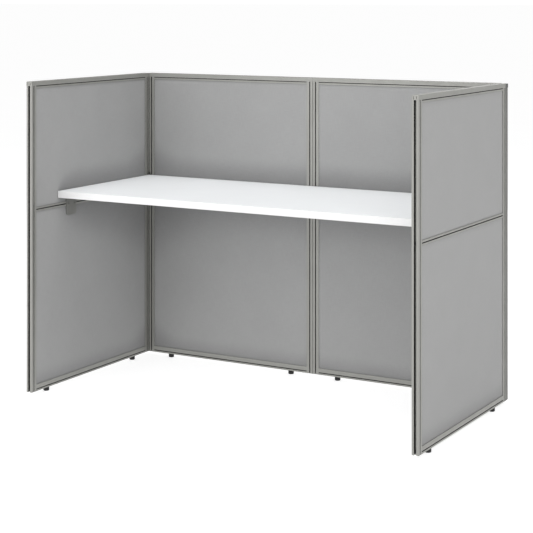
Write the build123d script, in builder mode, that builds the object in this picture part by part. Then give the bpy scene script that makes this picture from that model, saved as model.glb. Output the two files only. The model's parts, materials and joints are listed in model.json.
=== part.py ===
from build123d import *

import os

# A three-sided study carrel: four identical panels round a desk.
# Millimetres. X to the right, Y to the back, Z up. The origin is on the floor, at the middle of the
# footprint. Each panel is a framed fabric screen on two levelling feet.

os.makedirs("parts", exist_ok=True)

# ---- driving dimensions -------------------------------------------------------------------------

PANEL_PITCH = 762.0  # 30 in, the room one panel takes up along its wall
PANEL_HEIGHT = 1143.0  # 45 in, without the feet
PANEL_THICK = 25.4
JOINT_GAP = 0.5  # open line where two pieces of frame stand end to end
FLOOR_GAP = 15.0  # frame to floor with the feet screwed home

DESK_TOP = 739.6
DESK_THICK = 25.4
DESK_DEPTH = 606.0  # front of the edge band to the back edge
DESK_SIDE_GAP = 1.0
DESK_BACK_GAP = 1.0
EDGE_BAND = 2.0
BAND_EASE = 0.8

# Frame sections
STILE_WIDTH = 26.5
CAP_HEIGHT = 16.0
TOP_RAIL_DROP = 25.5  # top of the panel to the lower edge of the top rail
MIDDLE_RAIL = 17.0
MIDDLE_RAIL_Z = 685.7  # centre line above the floor
BOTTOM_RAIL = 24.5
GROOVE_DEPTH = 5.0
STILE_GROOVE = 4.2
STILE_GROOVE_AT = 12.4  # from the outer end to the middle of the groove
TOP_GROOVE = 2.8
MIDDLE_GROOVE = 3.6
BOTTOM_GROOVE = 3.4
BOTTOM_GROOVE_AT = 7.6
EDGE_ROUND = 2.0

# Top cap
CAP_PLATE = 4.0
CAP_CELL_AT = 5.2  # middle of each narrow hollow cell, either side of the cap's core
CAP_CELL_WIDTH = 1.3
CAP_CELL_HEIGHT = 9.5
TONGUE_LENGTH = 600.0
TONGUE_WIDTH = 5.0
TONGUE_DEPTH = 3.0
TONGUE_CLEAR = 0.4

# Channels that hold the tiles
CHANNEL_WIDTH = 21.8
STILE_CHANNEL = 8.0
TOP_CHANNEL = 3.5
MIDDLE_CHANNEL = 4.5
BOTTOM_CHANNEL = 5.0
TENON_CLEAR = 0.3
TILE_THICK = 21.2
TILE_GRIP = 6.0  # how far a tile reaches into each stile
TILE_PLAY = 0.4

# End slots and the strips that join panels through them
SLOT_MOUTH = 8.5
SLOT_LIP = 2.4
SLOT_CAVITY = 13.5
SLOT_DEPTH = 9.0
POST_CAVITY = 12.0
POST_SLOT_DEPTH = 5.4
STRIP_WEB = 8.1
STRIP_HEAD = 11.6
STRIP_HEAD_NEAR = 2.8  # from the joint face to the near side of the strip's head
STRIP_HEAD_FAR = 5.3
STRIP_END_CLEAR = 5.0

# Corner posts
POST_SHOULDER = 5.3  # flush strip beside each panel
POST_STEP = 1.0  # outer faces stand back by this
POST_BORE = 8.0
POST_BORE_IN = 15.5  # from each panel face to the middle of the post's bore
POST_CAP_HEIGHT = 14.5
POST_CAP_CHAMFER = 1.0
POST_PLUG = 7.8
POST_PLUG_LENGTH = 12.0

# Screws
SCREW_SHANK = 3.3
SCREW_PORT = 3.4
SCREW_HEAD = 5.8
SCREW_HEAD_HEIGHT = 2.4
SCREW_LENGTH = 30.0
BRACKET_SCREW = 4.2
BRACKET_HOLE = 4.4
BRACKET_SCREW_LENGTH = 16.0
BRACKET_HOLE_DEPTH = 17.0
BRACKET_HEAD = 8.0
CROSS_LENGTH = 0.6  # of the head's diameter
CROSS_WIDTH = 0.9
CROSS_DEPTH = 1.3

# Desk brackets
BRACKET_PLATE = 3.0
BRACKET_WIDTH = 60.0
BRACKET_DROP = 71.2
BRACKET_REACH = 45.0
BRACKET_AT = 235.7  # front edge of a side panel to the middle of its bracket
BRACKET_HOLES = 36.0
BRACKET_HOLE_REACH = 28.0
CENTRE_BRACKET_WIDTH = 180.0
CENTRE_BRACKET_HOLES = 140.0
BEND_RADIUS = 3.0
CORNER_ROUND = 8.0

# Levelling feet
FOOT_INSET = 101.6  # 4 in from each panel end
PAD_RADIUS = 11.0
PAD_HEIGHT = 10.5
PAD_ROUND = 3.0
PAD_TOP_ROUND = 1.0
BALL_RADIUS = 4.5
BALL_HEIGHT = 5.6
NECK_RADIUS = 3.0
RUNNING_CLEAR = 0.06
COLLAR_FLATS = 19.0
COLLAR_BOTTOM = 10.6
COLLAR_TOP = 14.6
STEM_RADIUS = 4.0
STEM_CHAMFER = 0.8
STEM_TOP = 33.5
STEM_HOLE = 4.3
NUT_FLATS = 13.0
NUT_POCKET_FLATS = 13.3
NUT_HEIGHT = 6.5
NUT_POCKET = 8.0

# ---- sizes that follow ---------------------------------------------------------------------------

PANEL_WIDTH = PANEL_PITCH - JOINT_GAP
HALF_THICK = PANEL_THICK / 2
FRAME_BOTTOM = FLOOR_GAP
FRAME_TOP = FLOOR_GAP + PANEL_HEIGHT
STILE_TOP = FRAME_TOP - CAP_HEIGHT
FRONT_Y = -(PANEL_PITCH + PANEL_THICK) / 2
BACK_FACE_Y = FRONT_Y + PANEL_PITCH  # front face of the back panels
BACK_MID_Y = BACK_FACE_Y + HALF_THICK
SIDE_FACE_X = PANEL_PITCH  # inner face of the right panel
SIDE_MID_X = SIDE_FACE_X + HALF_THICK
POST_BORE_X = SIDE_FACE_X + POST_BORE_IN
POST_BORE_Y = BACK_FACE_Y + POST_BORE_IN
DESK_BOTTOM = DESK_TOP - DESK_THICK
DESK_BACK_Y = BACK_FACE_Y - DESK_BACK_GAP
DESK_FRONT_Y = DESK_BACK_Y - DESK_DEPTH
DESK_HALF_WIDTH = SIDE_FACE_X - DESK_SIDE_GAP
GROOVE_FLOOR = HALF_THICK - GROOVE_DEPTH
TENON = STILE_CHANNEL - TENON_CLEAR

# The solid web of each rail, from low to high
TOP_WEB = (FRAME_TOP - TOP_RAIL_DROP + TOP_CHANNEL, STILE_TOP)
MIDDLE_WEB = (
    MIDDLE_RAIL_Z - MIDDLE_RAIL / 2 + MIDDLE_CHANNEL,
    MIDDLE_RAIL_Z + MIDDLE_RAIL / 2 - MIDDLE_CHANNEL,
)
BOTTOM_WEB = (FRAME_BOTTOM, FRAME_BOTTOM + BOTTOM_RAIL - BOTTOM_CHANNEL)

FOOT_DISTANCES = (FOOT_INSET, PANEL_WIDTH - FOOT_INSET)

UP = Vector(0, 0, 1)
RIGHTWARD = Vector(1, 0, 0)
BACKWARD = Vector(0, 1, 0)
LOW = (Align.CENTER, Align.MIN)
HIGH = (Align.CENTER, Align.MAX)
FROM_END = (Align.MIN, Align.CENTER)


class Panel:
    """Where one panel stands: its name, its first end, the way it runs, and names for its two ends."""

    def __init__(self, name, start, along, ends):
        self.name = name
        self.start = Vector(start)
        self.along = along
        self.across = UP.cross(along)
        self.ends = ends

    def point(self, distance, height=0.0):
        """A point on the panel's middle plane, so far along it and so high."""
        return self.start + self.along * distance + UP * height

    def level(self, distance, height, towards=1):
        """A horizontal plane whose X runs along the panel, forwards or back from that point."""
        return Plane(self.point(distance, height), x_dir=self.along * towards, z_dir=UP)

    def section(self, distance, towards=1):
        """A vertical plane across the panel: X across it, Y up."""
        return Plane(self.point(distance), x_dir=self.across * towards, z_dir=self.along * towards)


HALF_GAP = JOINT_GAP / 2
PANELS = [
    Panel("left", (-SIDE_MID_X, FRONT_Y, 0), BACKWARD, ("front", "rear")),
    Panel("back_left", (-SIDE_FACE_X + HALF_GAP, BACK_MID_Y, 0), RIGHTWARD, ("outer", "inner")),
    Panel("back_right", (HALF_GAP, BACK_MID_Y, 0), RIGHTWARD, ("inner", "outer")),
    Panel("right", (SIDE_MID_X, FRONT_Y, 0), BACKWARD, ("front", "rear")),
]


def write(builder, name):
    """Label a finished piece and write it to its own file."""
    builder.part.label = name
    export_step(builder.part, f"parts/{name}.step")


# ---- panel frame ---------------------------------------------------------------------------------


def middle(span):
    """The middle of a (low, high) pair."""
    return (span[0] + span[1]) / 2


SCREW_HEIGHTS = (middle(TOP_WEB), middle(MIDDLE_WEB), middle(BOTTOM_WEB))


def stile(panel, end):
    """An upright: a slot in its end, a groove down each face, a channel for the tiles behind."""
    distance, towards = ((0, 1), (PANEL_WIDTH, -1))[end]
    with BuildPart() as upright:
        with BuildSketch(panel.level(distance, FRAME_BOTTOM, towards)) as outline:
            Rectangle(STILE_WIDTH, PANEL_THICK, align=FROM_END)
            fillet(outline.vertices().group_by(Axis.X)[0], EDGE_ROUND)
            Rectangle(SLOT_DEPTH, SLOT_MOUTH, align=FROM_END, mode=Mode.SUBTRACT)
            with Locations((SLOT_LIP, 0)):
                Rectangle(SLOT_DEPTH - SLOT_LIP, SLOT_CAVITY, align=FROM_END, mode=Mode.SUBTRACT)
            with Locations((STILE_WIDTH - STILE_CHANNEL, 0)):
                Rectangle(STILE_CHANNEL, CHANNEL_WIDTH, align=FROM_END, mode=Mode.SUBTRACT)
            with Locations((STILE_GROOVE_AT, HALF_THICK), (STILE_GROOVE_AT, -HALF_THICK)):
                Rectangle(STILE_GROOVE, 2 * GROOVE_DEPTH, mode=Mode.SUBTRACT)
        extrude(amount=STILE_TOP - FRAME_BOTTOM)
        with BuildSketch(panel.section(distance, towards)):
            with Locations(*[(0, height) for height in SCREW_HEIGHTS]):
                Circle(SCREW_PORT / 2)
        extrude(amount=STILE_WIDTH, mode=Mode.SUBTRACT)
    write(upright, f"{panel.name}_{panel.ends[end]}_stile")


def face_groove(height, width):
    """Cut the same groove in both faces of a rail's section."""
    with Locations((HALF_THICK, height), (-HALF_THICK, height)):
        Rectangle(2 * GROOVE_DEPTH, width, mode=Mode.SUBTRACT)


def tile_channel(height, depth, align):
    """Cut a tile channel into the upper or lower edge of a rail's section."""
    with Locations((0, height)):
        Rectangle(CHANNEL_WIDTH, depth, align=align, mode=Mode.SUBTRACT)


def top_rail_section():
    """Lies under the cap: a narrow neck above a bead, open below for the upper tile."""
    with Locations((0, STILE_TOP)):
        Rectangle(PANEL_THICK, TOP_RAIL_DROP - CAP_HEIGHT, align=HIGH)
    face_groove(STILE_TOP - TOP_GROOVE / 2, TOP_GROOVE)
    tile_channel(FRAME_TOP - TOP_RAIL_DROP, TOP_CHANNEL, LOW)


def middle_rail_section():
    """Two beads with a groove between them, open above and below for the tiles."""
    with Locations((0, MIDDLE_RAIL_Z)):
        Rectangle(PANEL_THICK, MIDDLE_RAIL)
    face_groove(MIDDLE_RAIL_Z, MIDDLE_GROOVE)
    tile_channel(MIDDLE_RAIL_Z + MIDDLE_RAIL / 2, MIDDLE_CHANNEL, HIGH)
    tile_channel(MIDDLE_RAIL_Z - MIDDLE_RAIL / 2, MIDDLE_CHANNEL, LOW)


def bottom_rail_section():
    """A deep rail with a low groove, open above for the lower tile."""
    with Locations((0, FRAME_BOTTOM)):
        Rectangle(PANEL_THICK, BOTTOM_RAIL, align=LOW)
    face_groove(FRAME_BOTTOM + BOTTOM_GROOVE_AT, BOTTOM_GROOVE)
    tile_channel(FRAME_BOTTOM + BOTTOM_RAIL, BOTTOM_CHANNEL, HIGH)


def tongue_slot():
    """The slot in the top rail that takes the cap's tongue."""
    Rectangle(TONGUE_LENGTH + TONGUE_CLEAR, TONGUE_WIDTH + TONGUE_CLEAR)


def bracket_hole():
    """The hole for a bracket screw."""
    Circle(BRACKET_HOLE / 2)


def stem_hole():
    """The hole a foot's stem rises through."""
    Circle(STEM_HOLE)


def nut_pocket():
    """The pocket that stops a levelling nut from turning."""
    RegularPolygon(NUT_POCKET_FLATS / 2, 6, major_radius=False)


def rail(panel, name, draw_section, web, cuts):
    """A rail between the stiles: its section, a tenon and screw port at each end, and its cuts.

    Each cut is a list of planes, a function that draws the hole, and the hole's depth.
    """
    tenon_start = STILE_WIDTH - TENON
    with BuildPart() as bar:
        with BuildSketch(panel.section(STILE_WIDTH)):
            draw_section()
        extrude(amount=PANEL_WIDTH - 2 * STILE_WIDTH)
        with BuildSketch(panel.section(tenon_start)):
            with Locations((0, web[0])):
                Rectangle(2 * GROOVE_FLOOR, web[1] - web[0], align=LOW)
        extrude(amount=PANEL_WIDTH - 2 * tenon_start)
        for distance, towards in ((tenon_start, 1), (PANEL_WIDTH - tenon_start, -1)):
            with BuildSketch(panel.section(distance, towards)):
                with Locations((0, middle(web))):
                    Circle(SCREW_PORT / 2)
            extrude(amount=SCREW_LENGTH, mode=Mode.SUBTRACT)
        for planes, draw_hole, depth in cuts:
            with BuildSketch(*planes):
                draw_hole()
            extrude(amount=depth, mode=Mode.SUBTRACT)
    write(bar, f"{panel.name}_{name}")


def rails(panel):
    """The three rails of a panel: slotted for the cap, drilled for the desk, bored for the feet."""
    slot = [panel.level(PANEL_WIDTH / 2, STILE_TOP)]
    rail(panel, "top_rail", top_rail_section, TOP_WEB, [(slot, tongue_slot, -TONGUE_DEPTH - TONGUE_CLEAR)])
    bracket_cut = (wall_seats_on(panel), bracket_hole, BRACKET_HOLE_DEPTH)
    rail(panel, "middle_rail", middle_rail_section, MIDDLE_WEB, [bracket_cut])
    feet = [panel.level(distance, FRAME_BOTTOM) for distance in FOOT_DISTANCES]
    foot_cuts = [(feet, stem_hole, BOTTOM_RAIL), (feet, nut_pocket, NUT_POCKET)]
    rail(panel, "bottom_rail", bottom_rail_section, BOTTOM_WEB, foot_cuts)


def top_cap(panel):
    """A hollow extrusion that closes the top of stiles and rail, with a tongue into the rail."""
    with BuildPart() as cap:
        with BuildSketch(panel.section(0)) as outline:
            with Locations((0, FRAME_TOP)):
                Rectangle(PANEL_THICK, CAP_HEIGHT, align=HIGH)
            fillet(outline.vertices().group_by(Axis.Y)[-1], EDGE_ROUND)
            with Locations((CAP_CELL_AT, FRAME_TOP - CAP_PLATE), (-CAP_CELL_AT, FRAME_TOP - CAP_PLATE)):
                Rectangle(CAP_CELL_WIDTH, CAP_CELL_HEIGHT, align=HIGH, mode=Mode.SUBTRACT)
        extrude(amount=PANEL_WIDTH)
        with BuildSketch(panel.level(PANEL_WIDTH / 2, STILE_TOP)):
            Rectangle(TONGUE_LENGTH, TONGUE_WIDTH)
        extrude(amount=-TONGUE_DEPTH)
    write(cap, f"{panel.name}_top_cap")


def fabric_tile(panel, name, low, high):
    """A fabric-wrapped board held in the channels round it."""
    tile_start = STILE_WIDTH - TILE_GRIP
    with BuildPart() as tile:
        with BuildSketch(panel.level(PANEL_WIDTH / 2, low)):
            Rectangle(PANEL_WIDTH - 2 * tile_start, TILE_THICK)
        extrude(amount=high - low)
    write(tile, f"{panel.name}_{name}")


# ---- levelling feet ------------------------------------------------------------------------------


def foot_pad(panel, end):
    """A round glide with a ball socket in its top."""
    base = panel.level(FOOT_DISTANCES[end], 0)
    with BuildPart() as pad:
        with BuildSketch(base):
            Circle(PAD_RADIUS)
        extrude(amount=PAD_HEIGHT)
        fillet(pad.edges().group_by(Axis.Z)[0], PAD_ROUND)
        fillet(pad.edges().group_by(Axis.Z)[-1], PAD_TOP_ROUND)
        with BuildSketch(base.offset(BALL_HEIGHT)):
            Circle(NECK_RADIUS + RUNNING_CLEAR)
        extrude(amount=PAD_HEIGHT, mode=Mode.SUBTRACT)
        with Locations(base.offset(BALL_HEIGHT)):
            Sphere(BALL_RADIUS + RUNNING_CLEAR, mode=Mode.SUBTRACT)
    write(pad, f"{panel.name}_{panel.ends[end]}_foot_pad")


def foot_stem(panel, end):
    """A threaded stem with a hexagon collar to turn it by and a ball that swivels in the pad."""
    base = panel.level(FOOT_DISTANCES[end], 0)
    with BuildPart() as stem:
        with Locations(base.offset(BALL_HEIGHT)):
            Sphere(BALL_RADIUS)
        with BuildSketch(base.offset(BALL_HEIGHT)):
            Circle(NECK_RADIUS)
        extrude(amount=COLLAR_BOTTOM - BALL_HEIGHT)
        with BuildSketch(base.offset(COLLAR_BOTTOM)):
            RegularPolygon(COLLAR_FLATS / 2, 6, major_radius=False)
        extrude(amount=COLLAR_TOP - COLLAR_BOTTOM)
        with BuildSketch(base.offset(COLLAR_TOP)):
            Circle(STEM_RADIUS)
        extrude(amount=STEM_TOP - COLLAR_TOP)
        chamfer(stem.edges().group_by(Axis.Z)[-1], STEM_CHAMFER)
    write(stem, f"{panel.name}_{panel.ends[end]}_foot_stem")


def leveller_nuts():
    """The nuts held in the bottom rails, one over each foot."""
    nut_bottom = FRAME_BOTTOM + NUT_POCKET - NUT_HEIGHT
    seats = [panel.level(distance, nut_bottom) for panel in PANELS for distance in FOOT_DISTANCES]
    with BuildPart() as nuts:
        with BuildSketch(*seats):
            RegularPolygon(NUT_FLATS / 2, 6, major_radius=False)
            Circle(STEM_RADIUS + RUNNING_CLEAR, mode=Mode.SUBTRACT)
        extrude(amount=NUT_HEIGHT)
    write(nuts, "leveller_nuts")


# ---- corner posts and the strips that join the panels --------------------------------------------


def corner_post(name, side):
    """A square post in the corner, slotted on the two faces that meet panels."""
    centre_x = side * SIDE_MID_X
    with BuildPart() as post:
        with BuildSketch(Plane.XY.offset(FRAME_BOTTOM)):
            with Locations((centre_x, BACK_MID_Y)):
                Rectangle(PANEL_THICK, PANEL_THICK)
            for depth, near, width in (
                (POST_SLOT_DEPTH, 0, SLOT_MOUTH),
                (POST_SLOT_DEPTH - SLOT_LIP, SLOT_LIP, POST_CAVITY),
            ):
                with Locations((centre_x, BACK_FACE_Y + near)):
                    Rectangle(width, depth, align=LOW, mode=Mode.SUBTRACT)
                with Locations((side * (SIDE_FACE_X + near + depth / 2), BACK_MID_Y)):
                    Rectangle(depth, width, mode=Mode.SUBTRACT)
            with Locations((side * (SIDE_FACE_X + PANEL_THICK), BACK_FACE_Y + POST_SHOULDER)):
                Rectangle(2 * POST_STEP, PANEL_THICK, align=LOW, mode=Mode.SUBTRACT)
            with Locations((side * (SIDE_FACE_X + POST_SHOULDER + HALF_THICK), BACK_FACE_Y + PANEL_THICK)):
                Rectangle(PANEL_THICK, 2 * POST_STEP, mode=Mode.SUBTRACT)
            with Locations((side * POST_BORE_X, POST_BORE_Y)):
                Circle(POST_BORE / 2, mode=Mode.SUBTRACT)
        extrude(amount=STILE_TOP - FRAME_BOTTOM)
    write(post, name)


def corner_post_caps():
    """Moulded caps that close the tops of the posts, each with a plug down the post's bore."""
    corners = [(side * SIDE_MID_X, BACK_MID_Y) for side in (-1, 1)]
    bores = [(side * POST_BORE_X, POST_BORE_Y) for side in (-1, 1)]
    with BuildPart() as caps:
        with BuildSketch(Plane.XY.offset(STILE_TOP)):
            with Locations(*corners):
                Rectangle(PANEL_THICK, PANEL_THICK)
        extrude(amount=POST_CAP_HEIGHT)
        chamfer(caps.faces().group_by(Axis.Z)[-1].edges(), POST_CAP_CHAMFER)
        with BuildSketch(Plane.XY.offset(STILE_TOP)):
            with Locations(*bores):
                Circle(POST_PLUG / 2)
        extrude(amount=-POST_PLUG_LENGTH)
    write(caps, "corner_post_caps")


def joint_planes():
    """A plane at the foot of each joint between frames, with X running across the joint."""
    low = FRAME_BOTTOM + STRIP_END_CLEAR
    planes = [Plane((0, BACK_MID_Y, low))]
    for side in (-1, 1):
        planes.append(Plane((side * SIDE_FACE_X - side * HALF_GAP / 2, BACK_MID_Y, low)))
        planes.append(Plane((side * SIDE_MID_X, BACK_FACE_Y - JOINT_GAP / 2, low), x_dir=BACKWARD))
    return planes


def panel_connectors():
    """Double-headed strips that slide down the end slots of two neighbours and hold them together."""
    head = STRIP_HEAD_FAR - STRIP_HEAD_NEAR
    with BuildPart() as strips:
        with BuildSketch(*joint_planes()):
            Rectangle(2 * STRIP_HEAD_FAR, STRIP_WEB)
            with Locations((STRIP_HEAD_NEAR + head / 2, 0), (-STRIP_HEAD_NEAR - head / 2, 0)):
                Rectangle(head, STRIP_HEAD)
        extrude(amount=STILE_TOP - FRAME_BOTTOM - 2 * STRIP_END_CLEAR)
    write(strips, "panel_connectors")


# ---- desk ----------------------------------------------------------------------------------------


class Bracket:
    """A desk bracket: where its foot meets the wall, which way it reaches, and its screw seats."""

    def __init__(self, name, wall, inward, width, spacing):
        self.name = name
        self.wall = Vector(wall)
        self.inward = inward
        self.sideways = inward.cross(UP)
        self.width = width
        self.offsets = (-spacing / 2, spacing / 2)

    def profile_plane(self):
        """X runs away from the wall, Y up, from the bracket's lower edge."""
        origin = self.wall + UP * (DESK_BOTTOM - BRACKET_DROP)
        return Plane(origin, x_dir=self.inward, z_dir=self.sideways)

    def wall_seats(self):
        """Planes under the heads of the screws that run into the panel."""
        face = self.wall + self.inward * BRACKET_PLATE + UP * MIDDLE_RAIL_Z
        return [Plane(face + self.sideways * along, z_dir=-self.inward) for along in self.offsets]

    def desk_seats(self):
        """Planes under the heads of the screws that run up into the desktop."""
        face = self.wall + self.inward * BRACKET_HOLE_REACH + UP * (DESK_BOTTOM - BRACKET_PLATE)
        return [Plane(face + self.sideways * along, z_dir=UP) for along in self.offsets]


BRACKET_Y = FRONT_Y + BRACKET_AT
BRACKETS = [
    Bracket("left_desk_bracket", (-SIDE_FACE_X, BRACKET_Y, 0), RIGHTWARD, BRACKET_WIDTH, BRACKET_HOLES),
    Bracket("right_desk_bracket", (SIDE_FACE_X, BRACKET_Y, 0), -RIGHTWARD, BRACKET_WIDTH, BRACKET_HOLES),
    Bracket(
        "centre_desk_bracket",
        (0, BACK_FACE_Y, 0),
        -BACKWARD,
        CENTRE_BRACKET_WIDTH,
        CENTRE_BRACKET_HOLES,
    ),
]


def wall_seats_on(panel):
    """The bracket screw seats that stand against this panel."""
    seats = [seat for bracket in BRACKETS for seat in bracket.wall_seats()]
    if panel.along == RIGHTWARD:
        start, end = panel.start.X, panel.start.X + PANEL_WIDTH
        return [seat for seat in seats if start < seat.origin.X < end]
    return [seat for seat in seats if abs(seat.origin.X - panel.start.X) < PANEL_THICK]


def desk_bracket(bracket):
    """A bent plate with one leg on the panel and one under the desk."""
    inner_bend = BEND_RADIUS - BRACKET_PLATE / 2
    outer_bend = BEND_RADIUS + BRACKET_PLATE / 2
    with BuildPart() as plate:
        with BuildSketch(bracket.profile_plane()):
            with BuildLine():
                FilletPolyline(
                    (0, 0),
                    (BRACKET_PLATE, 0),
                    (BRACKET_PLATE, BRACKET_DROP - BRACKET_PLATE),
                    (BRACKET_REACH, BRACKET_DROP - BRACKET_PLATE),
                    (BRACKET_REACH, BRACKET_DROP),
                    (0, BRACKET_DROP),
                    radius=(0, 0, inner_bend, 0, 0, outer_bend),
                    close=True,
                )
            make_face()
        extrude(amount=bracket.width / 2, both=True)
        reach = Axis(bracket.wall, bracket.inward)
        fillet(plate.edges().filter_by(reach).group_by(Axis.Z)[0], CORNER_ROUND)
        fillet(plate.edges().filter_by(Axis.Z).group_by(reach)[-1], CORNER_ROUND)
        with BuildSketch(*bracket.wall_seats(), *bracket.desk_seats()):
            Circle(BRACKET_HOLE / 2)
        extrude(amount=BRACKET_PLATE, mode=Mode.SUBTRACT)
    write(plate, bracket.name)


def desktop():
    """A laminated board, drilled from below for the bracket screws."""
    board_depth = DESK_DEPTH - EDGE_BAND
    seats = [seat for bracket in BRACKETS for seat in bracket.desk_seats()]
    with BuildPart() as board:
        with BuildSketch(Plane.XY.offset(DESK_BOTTOM)):
            with Locations((0, DESK_BACK_Y)):
                Rectangle(2 * DESK_HALF_WIDTH, board_depth, align=HIGH)
        extrude(amount=DESK_THICK)
        with BuildSketch(*seats):
            Circle(BRACKET_HOLE / 2)
        extrude(amount=BRACKET_HOLE_DEPTH, mode=Mode.SUBTRACT)
    write(board, "desktop")


def desktop_edge_band():
    """The band glued along the front edge, eased top and bottom."""
    with BuildPart() as band:
        with BuildSketch(Plane.XY.offset(DESK_BOTTOM)):
            with Locations((0, DESK_FRONT_Y)):
                Rectangle(2 * DESK_HALF_WIDTH, EDGE_BAND, align=LOW)
        extrude(amount=DESK_THICK)
        fillet(band.edges().filter_by(Axis.X).group_by(Axis.Y)[0], BAND_EASE)
    write(band, "desktop_edge_band")


# ---- screws --------------------------------------------------------------------------------------


def pan_screws(seats, shank, length, head, name):
    """Pan-head screws with a cross recess, one on each seat plane, shank along the plane's normal."""
    tops = [seat.offset(-SCREW_HEAD_HEIGHT) for seat in seats]
    with BuildPart() as screws:
        with BuildSketch(*seats):
            Circle(shank / 2)
        extrude(amount=length)
        with BuildSketch(*seats):
            Circle(head / 2)
        extrude(amount=-SCREW_HEAD_HEIGHT)
        with BuildSketch(*tops):
            Rectangle(head * CROSS_LENGTH, CROSS_WIDTH)
            Rectangle(CROSS_WIDTH, head * CROSS_LENGTH)
        extrude(amount=CROSS_DEPTH, mode=Mode.SUBTRACT)
    write(screws, name)


def frame_screw_seats():
    """Planes on the floors of the end slots, one at each rail of each stile."""
    seats = []
    for panel in PANELS:
        for distance, towards in ((SLOT_DEPTH, 1), (PANEL_WIDTH - SLOT_DEPTH, -1)):
            for height in SCREW_HEIGHTS:
                seats.append(Plane(panel.point(distance, height), z_dir=panel.along * towards))
    return seats


def bracket_screw_seats():
    """Every bracket screw seat, on the panels and under the desk."""
    seats = []
    for bracket in BRACKETS:
        seats += bracket.wall_seats() + bracket.desk_seats()
    return seats


# ---- build ---------------------------------------------------------------------------------------

for one_panel in PANELS:
    for each_end in (0, 1):
        stile(one_panel, each_end)
        foot_pad(one_panel, each_end)
        foot_stem(one_panel, each_end)
    top_cap(one_panel)
    rails(one_panel)
    fabric_tile(one_panel, "upper_tile", MIDDLE_WEB[1], TOP_WEB[0] - TILE_PLAY)
    fabric_tile(one_panel, "lower_tile", BOTTOM_WEB[1], MIDDLE_WEB[0] - TILE_PLAY)

corner_post("left_corner_post", -1)
corner_post("right_corner_post", 1)
corner_post_caps()
panel_connectors()
leveller_nuts()

for one_bracket in BRACKETS:
    desk_bracket(one_bracket)
desktop()
desktop_edge_band()

pan_screws(frame_screw_seats(), SCREW_SHANK, SCREW_LENGTH, SCREW_HEAD, "frame_screws")
pan_screws(bracket_screw_seats(), BRACKET_SCREW, BRACKET_SCREW_LENGTH, BRACKET_HEAD, "bracket_screws")
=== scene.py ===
import json
import math

import bpy
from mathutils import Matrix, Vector, noise

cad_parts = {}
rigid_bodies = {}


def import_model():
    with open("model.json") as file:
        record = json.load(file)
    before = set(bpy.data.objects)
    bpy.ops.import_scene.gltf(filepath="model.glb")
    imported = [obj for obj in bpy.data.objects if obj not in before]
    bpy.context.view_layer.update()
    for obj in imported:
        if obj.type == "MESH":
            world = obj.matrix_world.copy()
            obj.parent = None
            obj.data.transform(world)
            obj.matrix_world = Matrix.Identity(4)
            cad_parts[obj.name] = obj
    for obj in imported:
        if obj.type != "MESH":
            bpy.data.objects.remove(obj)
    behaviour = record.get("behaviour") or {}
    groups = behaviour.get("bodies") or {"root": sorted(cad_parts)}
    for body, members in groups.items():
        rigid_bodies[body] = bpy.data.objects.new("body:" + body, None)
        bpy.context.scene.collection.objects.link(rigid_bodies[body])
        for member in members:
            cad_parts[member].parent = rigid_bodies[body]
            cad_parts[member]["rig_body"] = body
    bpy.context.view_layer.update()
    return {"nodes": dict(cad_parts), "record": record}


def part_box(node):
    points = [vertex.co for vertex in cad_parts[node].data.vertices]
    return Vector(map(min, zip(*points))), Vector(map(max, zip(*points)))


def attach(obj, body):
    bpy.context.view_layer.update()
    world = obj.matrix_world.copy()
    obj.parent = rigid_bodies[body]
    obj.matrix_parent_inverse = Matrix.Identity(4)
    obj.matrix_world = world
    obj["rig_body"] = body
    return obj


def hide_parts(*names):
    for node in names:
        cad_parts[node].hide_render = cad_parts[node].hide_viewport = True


# Looks for the study carrel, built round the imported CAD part. Metres, in the CAD frame.

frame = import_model()

MM = 0.001

# ---- sizes of the pieces --------------------------------------------------------------------------

# The cloth that covers each tile
TILE_GRIP = 6 * MM  # width of the edge that is hidden in the frame
TILE_FINE_STEP = 1.5 * MM
TILE_FINE_BAND = 24 * MM  # how far in from the edge the mesh stays fine
TILE_STEP = 8 * MM
TILE_EDGE_ROUND = 2 * MM
TILE_CROWN = 0.7 * MM  # how far the padding under the cloth swells
TILE_CROWN_RUN = 12 * MM
TILE_DRIFT = 0.14 * MM  # slow unevenness
TILE_DRIFT_SIZE = 160 * MM
TILE_DRIFT_RUN = 30 * MM
TILE_DRIFT_FRACTAL = (1.0, 2.0, 3)  # loss of height and gain of detail at each octave, and octaves
TILE_PUCKER = 0.10 * MM  # short pulls at the edge, where the cloth is stretched over the board
TILE_PUCKER_SIZE = 22 * MM
TILE_PUCKER_RUN = 6 * MM
TILE_PUCKER_FADE = 18 * MM

# Offsets that give each tile, each face and each kind of unevenness noise of its own
TILE_SEED = 3.7
FACE_SEED = 20
PUCKER_SEED = 9.5

# Levelling stems
STEM_SIDES = 60
BALL_RADIUS = 4.5 * MM
BALL_CENTRE = 5.6 * MM
BALL_STEPS = 12
NECK_RADIUS = 3.0 * MM
COLLAR_FLATS = 19.0 * MM
COLLAR_BOTTOM = 10.6 * MM
COLLAR_TOP = 14.6 * MM
COLLAR_CHAMFER = 0.9 * MM
THREAD_RADIUS = 4.0 * MM
THREAD_DEPTH = 0.65 * MM
THREAD_PITCH = 1.25 * MM
THREAD_START = 0.5 * MM  # plain neck between the collar and the thread
THREAD_STEPS = 10  # rings to each turn of the thread
THREAD_FLANK = 1.25  # how steeply the thread rises
THREAD_ROOT = 0.12  # how much of the rise is flat at the root
TIP_CHAMFER = 0.8 * MM
STEM_CREASE = 40  # degrees between faces that meet at a hard edge

# ---- colours and patterns -------------------------------------------------------------------------

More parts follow.
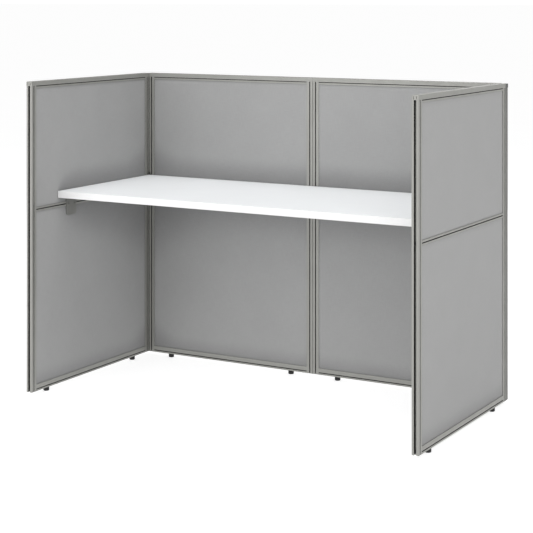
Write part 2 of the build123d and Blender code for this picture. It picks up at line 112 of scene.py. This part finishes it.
# Colours, linear
FABRIC = (0.362, 0.362, 0.361)
FRAME_GREY = (0.330, 0.329, 0.308)
POST_GREY = (0.170, 0.170, 0.160)
BRACKET_GREY = (0.245, 0.245, 0.230)
CAP_GREY = (0.100, 0.100, 0.098)
BLACK = (0.010, 0.010, 0.010)
BLACK_ZINC = (0.060, 0.060, 0.062)
BLACKENED = (0.030, 0.030, 0.032)
LAMINATE = (0.845, 0.860, 0.873)
EDGE_WHITE = (0.860, 0.860, 0.860)
WHITE = (1.0, 1.0, 1.0)

# A *_SHADES value says how far a pattern strays from its colour: 0.1 is a tenth darker to a tenth lighter
NOISE_SPAN = (0.3, 0.7)  # noise seldom leaves this range, so it is stretched to 0..1
EDGE_SPAN = (0.995, 0.85)  # how nearly a face and its rounded normal agree: on open faces, and on edges
EDGE_SAMPLES = 4
OPENNESS_SAMPLES = 12

# Powder coat: fleck and clouds, scuffed edges, smears in the gloss and orange peel
PAINT_METALLIC = 0.25  # the paint has a slight silver sheen
PAINT_SPECULAR = 0.5
PAINT_EDGE = 0.5 * MM
PAINT_FLECK = 0.6 * MM
PAINT_FLECK_SPAN = (0.35, 0.65)
PAINT_FLECK_SHADES = 0.08
PAINT_CLOUDS = 70 * MM
PAINT_CLOUD_SHADES = 0.05
PAINT_SCUFFS = 5 * MM
PAINT_SCUFF_SPAN = (0.45, 0.7)
PAINT_SCUFF_SHARE = 0.4
PAINT_SCUFF_PALER = 1.6
PAINT_SMEARS = 30 * MM
PAINT_SMEAR_STRETCH = (1.0, 1.0, 0.3)
PAINT_GLOSS_SWING = 0.07
PAINT_PEEL = 1.0 * MM
PAINT_PEEL_DEPTH = 0.03 * MM

# Painted shade in the gaps, slots and inner corners of the painted frame. The span is how open a point is:
# fully shaded, and unshaded
GAP_REACH = 20 * MM
GAP_SPAN = (0.44, 0.50)
GAP_SHADE = 0.04  # how dark they get, as a part of the paint's own colour

# Cloth: a plain weave of slubby yarn in a heathered grey, with a faint wash over the whole
WEAVE_PITCH = 1.5 * MM
WEAVE_CROSSING = (-0.25, 0.25)  # how softly the warp gives way to the weft
WEAVE_SHADES = 0.14
WEAVE_DEPTH = 0.15 * MM
SLUB_SIZE = 1.6 * MM
SLUB_STRETCHES = ((1.0, 0.05, 1.0), (0.05, 1.0, 1.0))  # along the warp, and along the weft
SLUB_SHADES = 0.16
SLUB_DEPTH = 0.10 * MM
SLUB_GLOSS = (0.2, 0.8, 0.85, 0.97)  # from this range of slub to this range of roughness
WASH_SIZE = 110 * MM
WASH_SHADES = 0.05
WASH_SHARE = 0.3
CLOTH_SHEEN = 0.2
CLOTH_SHEEN_ROUGHNESS = 0.45
CLOTH_SPECULAR = 0.2

# Shade is painted into the cloth's colour where a level surface is close above or below, as just above and
# below the desk.
# Each search leans down or up, so that it passes over upright corners. The searches are (lean, reach), and
# the span is how
# open a point is: shaded, and clear
SHADE_SEARCHES = ((-1.5, 150 * MM), (1.5, 330 * MM))
SHADE_SPAN = (0.08, 0.42)
SHADE_DEEPEST = 0.64

# Laminate: slow drift and fine grain in the tone, wiped streaks in the gloss and a pearl texture
LAMINATE_DRIFT = 180 * MM
LAMINATE_DRIFT_SHADES = 0.012
LAMINATE_GRAIN = 1.2 * MM
LAMINATE_GRAIN_SHADES = 0.02
LAMINATE_GRAIN_SHARE = 0.4
LAMINATE_WIPES = 60 * MM
LAMINATE_WIPE_STRETCH = (0.35, 1.0, 1.0)
LAMINATE_ROUGHNESS = (0.36, 0.46)
LAMINATE_SPECULAR = 0.06
LAMINATE_PEARL = 0.8 * MM
LAMINATE_PEARL_DEPTH = 0.012 * MM
LAMINATE_EDGE = 0.4 * MM

# Plastic: spark texture, handled patches and paler rubbed edges
PLASTIC_EDGE = 0.4 * MM
PLASTIC_SHADES = 0.06
PLASTIC_RUBBED_SHARE = 0.25
PLASTIC_RUBBED_PALER = 1.5
PLASTIC_HANDLED = 12 * MM
PLASTIC_GLOSS_SWING = (-0.06, 0.08)
PLASTIC_SPARK_DEPTH = 0.02 * MM

# Plated and blackened metal: drawn lines, mottling and paler rubbed edges
METAL_EDGE = 0.25 * MM
METAL_LINES = 0.4 * MM
METAL_LINE_STRETCH = (1.0, 1.0, 0.08)
METAL_LINE_SHADES = 0.12
METAL_LINE_DEPTH = 0.01 * MM
METAL_MOTTLE = 3 * MM
METAL_MOTTLE_SHADES = 0.15
METAL_RUBBED_SHARE = 0.4
METAL_RUBBED_PALER = 1.8
METAL_GLOSS_SWING = (-0.06, 0.10)

# ---- floor, sky, lamps and camera -----------------------------------------------------------------

FLOOR_GREY = (0.50, 0.50, 0.50)
FLOOR_DUST = 0.4
FLOOR_DUST_SHADES = 0.02
FLOOR_ROUGHNESS = 0.9
FLOOR_GLOW = 0.60  # light that the floor gives the object
FLOOR_GLOW_SEEN = 0.76  # light that the camera sees from it
FLOOR_REACH = 300
SKY_LIGHT = 0.66  # straight overhead
SKY_SEEN = 1.05
LAMP_SIZE = 3.0
LAMP_DISTANCE = 5.0
LAMP_TARGET = (0, 0, 0.6)
LAMPS = {  # degrees to the right of the front, degrees up, watts
    "front": (0, 25, 30),
    "left": (-32, 12, 56),
    "front_right": (40, 25, 63),
    "top": (0, 85, 120),
    "right": (100, 10, 31),
    "back": (180, 12, 42),
    "back_left": (-110, 12, 34),
}

# The camera is level, with its lens shifted down
CAMERA_PLACE = (2.75917, -4.79760, 1.46684)
CAMERA_TURN = 29.849  # degrees to the left of straight ahead
CAMERA_LENS = 102.4435
CAMERA_SENSOR = 36.0
CAMERA_SHIFT = -0.5044
CAMERA_REACH = 1000


# ---- materials ------------------------------------------------------------------------------------


def active(sockets, name=None):
    """The first socket in use, or the first in use with that name."""
    return next(s for s in sockets if s.enabled and name in (None, s.name))


class Shader:
    """A material being built, with short names for the nodes it needs."""

    def __init__(self, name):
        self.material = bpy.data.materials.new(name)
        self.material.use_nodes = True
        self.tree = self.material.node_tree
        self.tree.nodes.clear()
        self.surface = self.add("ShaderNodeBsdfPrincipled")
        self.feed(self.add("ShaderNodeOutputMaterial"), "Surface", self.surface)

    def add(self, kind, **properties):
        """A new node with those properties."""
        node = self.tree.nodes.new(kind)
        for key, value in properties.items():
            setattr(node, key, value)
        return node

    def feed(self, node, socket, value):
        """Give an input a number, a colour, another node's first output, or one (node, output name)."""
        target = node.inputs[socket] if isinstance(socket, int) else active(node.inputs, socket)
        if isinstance(value, bpy.types.Node):
            self.tree.links.new(active(value.outputs), target)
        elif isinstance(value, tuple) and isinstance(value[0], bpy.types.Node):
            self.tree.links.new(active(value[0].outputs, value[1]), target)
        elif target.type == "RGBA":
            target.default_value = (*value, 1.0)
        else:
            target.default_value = value

    def surface_is(self, **values):
        """Set inputs of the surface, such as Sheen_Weight."""
        for key, value in values.items():
            self.feed(self.surface, key.replace("_", " "), value)

    def math(self, operation, first, second=0.0):
        """One sum on numbers or number nodes."""
        node = self.add("ShaderNodeMath", operation=operation)
        self.feed(node, 0, first)
        self.feed(node, 1, second)
        return node

    def ranged(self, value, low, high, to_low=0.0, to_high=1.0):
        """Map low..high to to_low..to_high, and stop at the ends."""
        node = self.add("ShaderNodeMapRange")
        self.feed(node, "Value", value)
        self.feed(node, "From Min", low)
        self.feed(node, "From Max", high)
        self.feed(node, "To Min", to_low)
        self.feed(node, "To Max", to_high)
        return node

    def mix(self, factor, first, second):
        """Blend two colours or colour nodes."""
        node = self.add("ShaderNodeMix", data_type="RGBA")
        self.feed(node, "Factor", factor)
        self.feed(node, "A", first)
        self.feed(node, "B", second)
        return node

    def multiplied(self, colour, factor):
        """A colour node made darker by a factor node."""
        node = self.add("ShaderNodeVectorMath", operation="SCALE")
        self.feed(node, 0, (colour, "Result"))
        self.feed(node, "Scale", factor)
        return node

    def shades(self, factor, colour, spread):
        """From a little darker than a colour to a little lighter."""
        return self.mix(factor, scaled(colour, 1 - spread), scaled(colour, 1 + spread))

    def stretched(self, source, scale):
        """A coordinate scaled along each axis."""
        node = self.add("ShaderNodeMapping")
        self.feed(node, "Vector", source)
        self.feed(node, "Scale", scale)
        return node

    def place(self, scale=(1, 1, 1)):
        """The point being shaded, in metres, scaled along each axis."""
        return self.stretched((self.add("ShaderNodeTexCoord"), "Object"), scale)

    def noise(self, size, where=None, detail=3.0, roughness=0.5):
        """Noise with features about this size."""
        node = self.add("ShaderNodeTexNoise")
        self.feed(node, "Vector", where or self.place())
        self.feed(node, "Scale", 1 / size)
        self.feed(node, "Detail", detail)
        self.feed(node, "Roughness", roughness)
        return node

    def patches(self, size, detail):
        """Noise stretched to run from 0 to 1."""
        return self.ranged(self.noise(size, detail=detail), *NOISE_SPAN)

    def bump(self, height, depth, under=None):
        """The normal over a relief this deep, laid on another normal if one is given."""
        node = self.add("ShaderNodeBump")
        self.feed(node, "Height", height)
        self.feed(node, "Distance", depth)
        if under:
            self.feed(node, "Normal", under)
        return node

    def rounded(self, radius):
        """The normal as if the edges were rounded by this radius."""
        node = self.add("ShaderNodeBevel", samples=EDGE_SAMPLES)
        self.feed(node, "Radius", radius)
        return node

    def openness(self, reach, shut, clear, lean=0.0):
        """0 where other surfaces crowd in and 1 in the open. The search may lean up, or down if negative."""
        node = self.add("ShaderNodeAmbientOcclusion", samples=OPENNESS_SAMPLES)
        self.feed(node, "Distance", reach)
        if lean:
            leaning = self.add("ShaderNodeVectorMath", operation="ADD")
            self.feed(leaning, 0, (self.add("ShaderNodeNewGeometry"), "Normal"))
            self.feed(leaning, 1, (0.0, 0.0, lean))
            straight = self.add("ShaderNodeVectorMath", operation="NORMALIZE")
            self.feed(straight, 0, leaning)
            self.feed(node, "Normal", straight)
        return self.ranged((node, "AO"), shut, clear)

    def edges(self, rounded):
        """1 on edges and 0 on open faces."""
        dot = self.add("ShaderNodeVectorMath", operation="DOT_PRODUCT")
        self.feed(dot, 0, (self.add("ShaderNodeNewGeometry"), "True Normal"))
        self.feed(dot, 1, rounded)
        return self.ranged(dot, *EDGE_SPAN)

    def rubbed(self, body, rounded, share, paler):
        """A colour that is replaced by a paler one, by this share, along the edges."""
        return self.mix(self.math("MULTIPLY", self.edges(rounded), share), body, paler)


def scaled(colour, factor):
    """A colour made darker or lighter."""
    return tuple(min(1.0, channel * factor) for channel in colour)


def powder_coat(name, colour, roughness):
    """Painted metal: fleck, faint clouds, orange peel, paler rubbed edges, and painted shade in gaps and
    corners.
    """
    shader = Shader(name)
    rounded = shader.rounded(PAINT_EDGE)
    fleck = shader.ranged(shader.noise(PAINT_FLECK, detail=1.0), *PAINT_FLECK_SPAN)
    clouds = shader.patches(PAINT_CLOUDS, detail=4.0)
    flecked = shader.shades(fleck, colour, PAINT_FLECK_SHADES)
    paint = shader.mix(0.5, flecked, shader.shades(clouds, colour, PAINT_CLOUD_SHADES))
    scuffs = shader.ranged(shader.noise(PAINT_SCUFFS, detail=6.0, roughness=0.7), *PAINT_SCUFF_SPAN)
    share = shader.math("MULTIPLY", scuffs, PAINT_SCUFF_SHARE)
    worn = shader.rubbed(paint, rounded, share, scaled(colour, PAINT_SCUFF_PALER))
    # painted shade: where other surfaces crowd in, the paint is darkened and its specular turned down
    painted_gap_shade = shader.openness(GAP_REACH, *GAP_SPAN)
    shader.surface_is(Base_Color=shader.mix(painted_gap_shade, scaled(colour, GAP_SHADE), worn))
    shader.surface_is(Specular_IOR_Level=shader.ranged(painted_gap_shade, 0.0, 1.0, 0.0, PAINT_SPECULAR))
    smears = shader.noise(PAINT_SMEARS, shader.place(PAINT_SMEAR_STRETCH), detail=5.0)
    gloss = (roughness - PAINT_GLOSS_SWING, roughness + PAINT_GLOSS_SWING)
    shader.surface_is(Metallic=PAINT_METALLIC)
    shader.surface_is(Roughness=shader.ranged(smears, *NOISE_SPAN, *gloss))
    peel = shader.noise(PAINT_PEEL, detail=2.0)
    shader.surface_is(Normal=shader.bump(peel, PAINT_PEEL_DEPTH, rounded))
    return shader.material


def woven_cloth(name, colour):
    """Plain-woven panel cloth: threads crossing over and under, slubs, a heathered mix of greys, and painted
    shade by the desk.
    """
    shader = Shader(name)
    uv = shader.add("ShaderNodeUVMap", uv_map="cloth")
    parts = shader.add("ShaderNodeSeparateXYZ")
    shader.feed(parts, "Vector", uv)
    waves = [
        shader.math("SINE", shader.math("MULTIPLY", (parts, axis), math.pi / WEAVE_PITCH))
        for axis in ("X", "Y")
    ]
    over = shader.ranged(shader.math("MULTIPLY", waves[0], waves[1]), *WEAVE_CROSSING)
    threads = [shader.math("ABSOLUTE", wave) for wave in waves]
    slubs = [
        shader.noise(SLUB_SIZE, shader.stretched(uv, stretch), detail=2.0)
        for stretch in SLUB_STRETCHES
    ]

    def crossed(warp_and_weft):
        """Show the warp where it passes over, and the weft elsewhere."""
        node = shader.add("ShaderNodeMix", data_type="FLOAT")
        shader.feed(node, "Factor", over)
        shader.feed(node, "A", warp_and_weft[1])
        shader.feed(node, "B", warp_and_weft[0])
        return node

    relief = crossed(threads)
    yarn = crossed(slubs)
    heather = shader.shades(shader.ranged(yarn, *NOISE_SPAN), colour, SLUB_SHADES)
    woven = shader.mix(0.5, shader.shades(relief, colour, WEAVE_SHADES), heather)
    wash = shader.shades(shader.patches(WASH_SIZE, detail=4.0), colour, WASH_SHADES)
    cloth = shader.mix(WASH_SHARE, woven, wash)
    # painted shade: the cloth is darkened where the desk or another level surface is close above or below
    above, below = (shader.openness(reach, *SHADE_SPAN, lean) for lean, reach in SHADE_SEARCHES)
    painted_shade = shader.ranged(shader.math("MULTIPLY", above, below), 0.0, 1.0, SHADE_DEEPEST, 1.0)
    shader.surface_is(Base_Color=shader.multiplied(cloth, painted_shade))
    shader.surface_is(Roughness=shader.ranged(yarn, *SLUB_GLOSS))
    shader.surface_is(Sheen_Weight=CLOTH_SHEEN, Sheen_Roughness=CLOTH_SHEEN_ROUGHNESS)
    shader.surface_is(Specular_IOR_Level=CLOTH_SPECULAR)
    slubby = shader.bump(yarn, SLUB_DEPTH)
    shader.surface_is(Normal=shader.bump(relief, WEAVE_DEPTH, slubby))
    return shader.material


def laminate(name, colour):
    """Pale decorative laminate: fine pearl texture, faint tone drift and a soft sheen."""
    shader = Shader(name)
    drift = shader.shades(shader.patches(LAMINATE_DRIFT, detail=3.0), colour, LAMINATE_DRIFT_SHADES)
    grain = shader.shades(shader.patches(LAMINATE_GRAIN, detail=3.0), colour, LAMINATE_GRAIN_SHADES)
    shader.surface_is(Base_Color=shader.mix(LAMINATE_GRAIN_SHARE, drift, grain))
    wipes = shader.noise(LAMINATE_WIPES, shader.place(LAMINATE_WIPE_STRETCH), detail=5.0)
    shader.surface_is(Roughness=shader.ranged(wipes, *NOISE_SPAN, *LAMINATE_ROUGHNESS))
    shader.surface_is(Specular_IOR_Level=LAMINATE_SPECULAR)
    pearl = shader.noise(LAMINATE_PEARL, detail=2.0)
    shader.surface_is(Normal=shader.bump(pearl, LAMINATE_PEARL_DEPTH, shader.rounded(LAMINATE_EDGE)))
    return shader.material


def moulded_plastic(name, colour, roughness, spark):
    """Moulded or extruded plastic with a fine spark texture and paler rubbed edges."""
    shader = Shader(name)
    rounded = shader.rounded(PLASTIC_EDGE)
    body = shader.shades(shader.patches(spark, detail=2.0), colour, PLASTIC_SHADES)
    paler = scaled(colour, PLASTIC_RUBBED_PALER)
    shader.surface_is(Base_Color=shader.rubbed(body, rounded, PLASTIC_RUBBED_SHARE, paler))
    handled = shader.noise(PLASTIC_HANDLED, detail=4.0)
    gloss = (roughness + swing for swing in PLASTIC_GLOSS_SWING)
    shader.surface_is(Roughness=shader.ranged(handled, *NOISE_SPAN, *gloss))
    grain = shader.noise(spark, detail=2.0)
    shader.surface_is(Normal=shader.bump(grain, PLASTIC_SPARK_DEPTH, rounded))
    return shader.material


def bare_metal(name, colour, roughness):
    """Plated or blackened metal with drawn lines and mottling."""
    shader = Shader(name)
    rounded = shader.rounded(METAL_EDGE)
    lines = shader.noise(METAL_LINES, shader.place(METAL_LINE_STRETCH), detail=2.0)
    mottle = shader.patches(METAL_MOTTLE, detail=5.0)
    mottled = shader.shades(mottle, colour, METAL_MOTTLE_SHADES)
    body = shader.mix(0.5, mottled, shader.shades(lines, colour, METAL_LINE_SHADES))
    paler = scaled(colour, METAL_RUBBED_PALER)
    shader.surface_is(Base_Color=shader.rubbed(body, rounded, METAL_RUBBED_SHARE, paler))
    gloss = (roughness + swing for swing in METAL_GLOSS_SWING)
    shader.surface_is(Metallic=1.0, Roughness=shader.ranged(mottle, 0.0, 1.0, *gloss))
    shader.surface_is(Normal=shader.bump(lines, METAL_LINE_DEPTH, rounded))
    return shader.material


MATERIALS = {
    "frame": powder_coat("frame", FRAME_GREY, roughness=0.45),
    "tile_fabric": woven_cloth("tile_fabric", FABRIC),
    "corner_post": powder_coat("corner_post", POST_GREY, roughness=0.45),
    "post_cap": moulded_plastic("post_cap", CAP_GREY, roughness=0.5, spark=0.7 * MM),
    "connector": bare_metal("connector", BLACKENED, roughness=0.4),
    "fastener": bare_metal("fastener", BLACK_ZINC, roughness=0.35),
    "bracket": powder_coat("bracket", BRACKET_GREY, roughness=0.4),
    "laminate": laminate("laminate", LAMINATE),
    "edge_band": moulded_plastic("edge_band", EDGE_WHITE, roughness=0.36, spark=0.9 * MM),
    "foot_pad": moulded_plastic("foot_pad", BLACK, roughness=0.42, spark=0.8 * MM),
    "foot_stem": bare_metal("foot_stem", BLACKENED, roughness=0.38),
}
SLOTS = {part["node"]: part["material_slot"] for part in frame["record"]["subparts"]}
PAINTED_OVER = {"bracket_screws": "bracket"}  # their heads are painted with the brackets

for node_name, node in frame["nodes"].items():
    node.data.materials.clear()
    node.data.materials.append(MATERIALS[PAINTED_OVER.get(node_name, SLOTS[node_name])])


# ---- pieces ---------------------------------------------------------------------------------------


def add_piece(name, points, faces, replaced):
    """A smooth mesh that stands for a CAD node, on that node's body and with its material."""
    mesh = bpy.data.meshes.new(name)
    mesh.from_pydata(points, [], faces)
    mesh.update()
    mesh.shade_smooth()
    mesh.materials.append(MATERIALS[SLOTS[replaced]])
    piece = bpy.data.objects.new(name, mesh)
    bpy.context.scene.collection.objects.link(piece)
    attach(piece, frame["nodes"][replaced]["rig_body"])
    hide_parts(replaced)
    return piece


def ease(value):
    """A smooth step from 0 to 1."""
    value = min(1.0, max(0.0, value))
    return value * value * (3 - 2 * value)


# ---- cloth tiles ----


def stations(length):
    """Places along a tile's side: close together at both ends, wider in the middle."""
    fine = round(TILE_FINE_BAND / TILE_FINE_STEP)
    edge = [i * TILE_FINE_STEP for i in range(fine)]
    inner = length - 2 * TILE_FINE_BAND
    count = round(inner / TILE_STEP)
    middle = [TILE_FINE_BAND + inner * i / count for i in range(count + 1)]
    return edge + middle + [length - place for place in reversed(edge)]


def cloth_height(along, up, size, seed):
    """How far the cloth stands from the tile's middle plane."""
    length, height, thick = size
    edges = (along, length - along, up, height - up)
    distance = min(edges)
    level = thick / 2
    if distance < TILE_EDGE_ROUND:
        level += math.sqrt(TILE_EDGE_ROUND**2 - (TILE_EDGE_ROUND - distance) ** 2) - TILE_EDGE_ROUND
    inside = distance - TILE_GRIP
    level += TILE_CROWN * math.prod(ease((edge - TILE_GRIP) / TILE_CROWN_RUN) for edge in edges)
    place = Vector((along / TILE_DRIFT_SIZE, up / TILE_DRIFT_SIZE, seed))
    level += TILE_DRIFT * noise.fractal(place, *TILE_DRIFT_FRACTAL) * ease(inside / TILE_DRIFT_RUN)
    place = Vector((along / TILE_PUCKER_SIZE, up / TILE_PUCKER_SIZE, seed + PUCKER_SEED))
    fade = ease(inside / TILE_PUCKER_RUN) * math.exp(-max(inside, 0.0) / TILE_PUCKER_FADE)
    level += TILE_PUCKER * noise.noise(place) * fade
    return level


def grid_rim(columns, rows):
    """The points round the outside of a grid, in order."""
    rim = list(range(columns - 1))
    rim += [row * columns + columns - 1 for row in range(rows - 1)]
    rim += [(rows - 1) * columns + column for column in range(columns - 1, 0, -1)]
    rim += [row * columns for row in range(rows - 1, 0, -1)]
    return rim


def two_sided_faces(columns, rows, turned):
    """Faces of two grids, back to back, and of the rim that joins them. All face outwards."""
    back = columns * rows

    def quad(a, b, c, d, flip):
        """The corners in the order that makes the face look outwards."""
        return (d, c, b, a) if flip != turned else (a, b, c, d)

    faces = []
    for row in range(rows - 1):
        for column in range(columns - 1):
            a = row * columns + column
            corners = (a, a + 1, a + columns + 1, a + columns)
            faces.append(quad(*corners, False))
            faces.append(quad(*(corner + back for corner in corners), True))
    rim = grid_rim(columns, rows)
    for a, b in zip(rim, rim[1:] + rim[:1]):
        faces.append(quad(b, a, a + back, b + back, False))
    return faces


def fabric_tile(node_name, seed):
    """A board wrapped in cloth: both faces swell a little between the frame's edges."""
    low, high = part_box(node_name)
    span = high - low
    axis = 0 if span.x > span.y else 1
    size = (span[axis], span.z, span[1 - axis])
    centre = (low + high) / 2
    alongs = stations(size[0])
    ups = stations(size[1])
    points = []
    coordinates = []
    for side in (-1, 1):
        for up in ups:
            for along in alongs:
                height = cloth_height(along, up, size, seed + FACE_SEED * side)
                point = Vector((0, 0, low.z + up))
                point[axis] = low[axis] + along
                point[1 - axis] = centre[1 - axis] + side * height
                points.append(point)
                coordinates.append((along, up))
    faces = two_sided_faces(len(alongs), len(ups), turned=axis == 1)
    piece = add_piece(node_name + "_cloth", points, faces, node_name)
    layer = piece.data.uv_layers.new(name="cloth")
    for loop in piece.data.loops:
        layer.data[loop.index].uv = coordinates[loop.vertex_index]


# ---- threaded stems ----


def circle(radius):
    """A round outline: one radius at every angle."""
    return lambda angle: radius


def hexagon(chamfer):
    """The collar's outline, with its corners cut back by a chamfer."""
    flat = COLLAR_FLATS / 2
    corner = flat / math.cos(math.pi / 6)

    def radius(angle):
        from_flat = (angle + math.pi / 6) % (math.pi / 3) - math.pi / 6
        return min(flat / math.cos(from_flat), corner - chamfer)

    return radius


def thread(height):
    """The outline of the thread at a height. It goes once round in each pitch."""

    def radius(angle):
        phase = (height / THREAD_PITCH - angle / (2 * math.pi)) % 1.0
        rise = ease(abs(2 * phase - 1) * THREAD_FLANK - THREAD_ROOT)
        return THREAD_RADIUS - THREAD_DEPTH * (1 - rise)

    return radius


def stem_rings(top):
    """The stem from the ball up to its top, as (height, outline) pairs."""
    rings = []
    neck_angle = math.asin(NECK_RADIUS / BALL_RADIUS)
    for step in range(1, BALL_STEPS + 1):
        angle = math.pi - (math.pi - neck_angle) * step / BALL_STEPS
        rings.append((BALL_CENTRE + BALL_RADIUS * math.cos(angle), circle(BALL_RADIUS * math.sin(angle))))
    rings.append((COLLAR_BOTTOM, circle(NECK_RADIUS)))
    rings.append((COLLAR_BOTTOM, hexagon(COLLAR_CHAMFER)))
    rings.append((COLLAR_BOTTOM + COLLAR_CHAMFER / 2, hexagon(0)))
    rings.append((COLLAR_TOP - COLLAR_CHAMFER / 2, hexagon(0)))
    rings.append((COLLAR_TOP, hexagon(COLLAR_CHAMFER)))
    rings.append((COLLAR_TOP, circle(THREAD_RADIUS - THREAD_DEPTH)))
    start = COLLAR_TOP + THREAD_START
    turns = (top - TIP_CHAMFER - start) / THREAD_PITCH
    for step in range(math.floor(turns * THREAD_STEPS) + 1):
        height = start + THREAD_PITCH * step / THREAD_STEPS
        rings.append((height, thread(height)))
    rings.append((top, circle(THREAD_RADIUS - TIP_CHAMFER)))
    return rings


def threaded_stem(node_name):
    """A ball, a neck, a chamfered hexagon collar and a real thread, in one closed skin."""
    low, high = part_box(node_name)
    centre = (low + high) / 2
    rings = stem_rings(high.z)
    points = [Vector((centre.x, centre.y, low.z))]
    for height, radius in rings:
        for side in range(STEM_SIDES):
            angle = 2 * math.pi * side / STEM_SIDES
            out = Vector((math.cos(angle), math.sin(angle), 0)) * radius(angle)
            points.append(Vector((centre.x, centre.y, height)) + out)
    points.append(Vector((centre.x, centre.y, high.z)))
    faces = []
    top = 1 + (len(rings) - 1) * STEM_SIDES
    for side in range(STEM_SIDES):
        after = (side + 1) % STEM_SIDES
        faces.append((0, 1 + after, 1 + side))
        for a in range(1, top, STEM_SIDES):
            faces.append((a + side, a + after, a + STEM_SIDES + after, a + STEM_SIDES + side))
        faces.append((len(points) - 1, top + side, top + after))
    piece = add_piece(node_name + "_threaded", points, faces, node_name)
    crease = piece.modifiers.new("crease", "EDGE_SPLIT")
    crease.split_angle = math.radians(STEM_CREASE)


tile_names = [name for name in frame["nodes"] if name.endswith("_tile")]
stem_names = [name for name in frame["nodes"] if name.endswith("_foot_stem")]
for number, tile_name in enumerate(sorted(tile_names)):
    fabric_tile(tile_name, TILE_SEED * number)
for stem_name in sorted(stem_names):
    threaded_stem(stem_name)


# ---- floor, light and camera ----------------------------------------------------------------------


def white_floor():
    """A pale floor. The camera sees it nearly white, and it gives the object a softer light."""
    shader = Shader("floor")
    seen = (shader.add("ShaderNodeLightPath"), "Is Camera Ray")
    dust = shader.patches(FLOOR_DUST, detail=3.0)
    shader.surface_is(Base_Color=shader.shades(dust, FLOOR_GREY, FLOOR_DUST_SHADES))
    shader.surface_is(Roughness=FLOOR_ROUGHNESS, Specular_IOR_Level=0.0)
    glow = shader.ranged(seen, 0.0, 1.0, FLOOR_GLOW, FLOOR_GLOW_SEEN)
    shader.surface_is(Emission_Color=WHITE, Emission_Strength=glow)
    corners = ((-1, -1), (1, -1), (1, 1), (-1, 1))
    mesh = bpy.data.meshes.new("floor")
    mesh.from_pydata([(x * FLOOR_REACH, y * FLOOR_REACH, 0) for x, y in corners], [], [(0, 1, 2, 3)])
    mesh.materials.append(shader.material)
    floor = bpy.data.objects.new("floor", mesh)
    bpy.context.scene.collection.objects.link(floor)


def studio_sky():
    """White all round to the camera. As a light it is brightest overhead and fades out at the horizon."""
    world = bpy.data.worlds.new("studio")
    world.use_nodes = True
    bpy.context.scene.world = world
    tree = world.node_tree
    backdrop = tree.nodes["Background"]
    backdrop.inputs["Color"].default_value = (*WHITE, 1.0)
    parts = tree.nodes.new("ShaderNodeSeparateXYZ")
    tree.links.new(tree.nodes.new("ShaderNodeTexCoord").outputs["Generated"], parts.inputs["Vector"])
    overhead = tree.nodes.new("ShaderNodeMapRange")
    overhead.inputs["To Max"].default_value = SKY_LIGHT
    tree.links.new(parts.outputs["Z"], overhead.inputs["Value"])
    seen = tree.nodes.new("ShaderNodeLightPath").outputs["Is Camera Ray"]
    strength = tree.nodes.new("ShaderNodeMapRange")
    strength.inputs["To Max"].default_value = SKY_SEEN
    tree.links.new(seen, strength.inputs["Value"])
    tree.links.new(overhead.outputs["Result"], strength.inputs["To Min"])
    tree.links.new(strength.outputs["Result"], backdrop.inputs["Strength"])


def soft_light(name, turn, rise, power):
    """A large square light facing the object, turned right of the front and raised, both in degrees."""
    data = bpy.data.lights.new(name, "AREA")
    data.shape = "SQUARE"
    data.size = LAMP_SIZE
    data.energy = power
    light = bpy.data.objects.new(name, data)
    turn = math.radians(turn)
    rise = math.radians(rise)
    level = math.cos(rise)
    outward = Vector((math.sin(turn) * level, -math.cos(turn) * level, math.sin(rise)))
    light.location = Vector(LAMP_TARGET) + LAMP_DISTANCE * outward
    light.rotation_euler = outward.to_track_quat("Z", "Y").to_euler()
    bpy.context.scene.collection.objects.link(light)


def camera():
    """A level camera whose lens is shifted down, so that uprights stay upright."""
    data = bpy.data.cameras.new("camera")
    data.sensor_width = CAMERA_SENSOR
    data.lens = CAMERA_LENS
    data.clip_end = CAMERA_REACH
    eye = bpy.data.objects.new("camera", data)
    eye.location = CAMERA_PLACE
    eye.rotation_mode = "XYZ"
    eye.rotation_euler = (math.radians(90), 0, math.radians(CAMERA_TURN))
    bpy.context.scene.collection.objects.link(eye)
    bpy.context.scene.camera = eye
    shift_only_here(eye)


def shift_only_here(eye):
    """Shift the lens while the camera keeps XYZ angles. Other views turn it by quaternion, with no shift."""
    curve = eye.data.driver_add("shift_y")
    curve.driver.type = "SUM"
    mode = curve.driver.variables.new()
    mode.targets[0].id = eye
    mode.targets[0].data_path = "rotation_mode"
    curve.modifiers[0].coefficients = (0.0, CAMERA_SHIFT)


white_floor()
studio_sky()
for lamp_name, (lamp_turn, lamp_rise, lamp_power) in LAMPS.items():
    soft_light(lamp_name, lamp_turn, lamp_rise, lamp_power)
camera()
bpy.context.scene.view_settings.view_transform = "Standard"
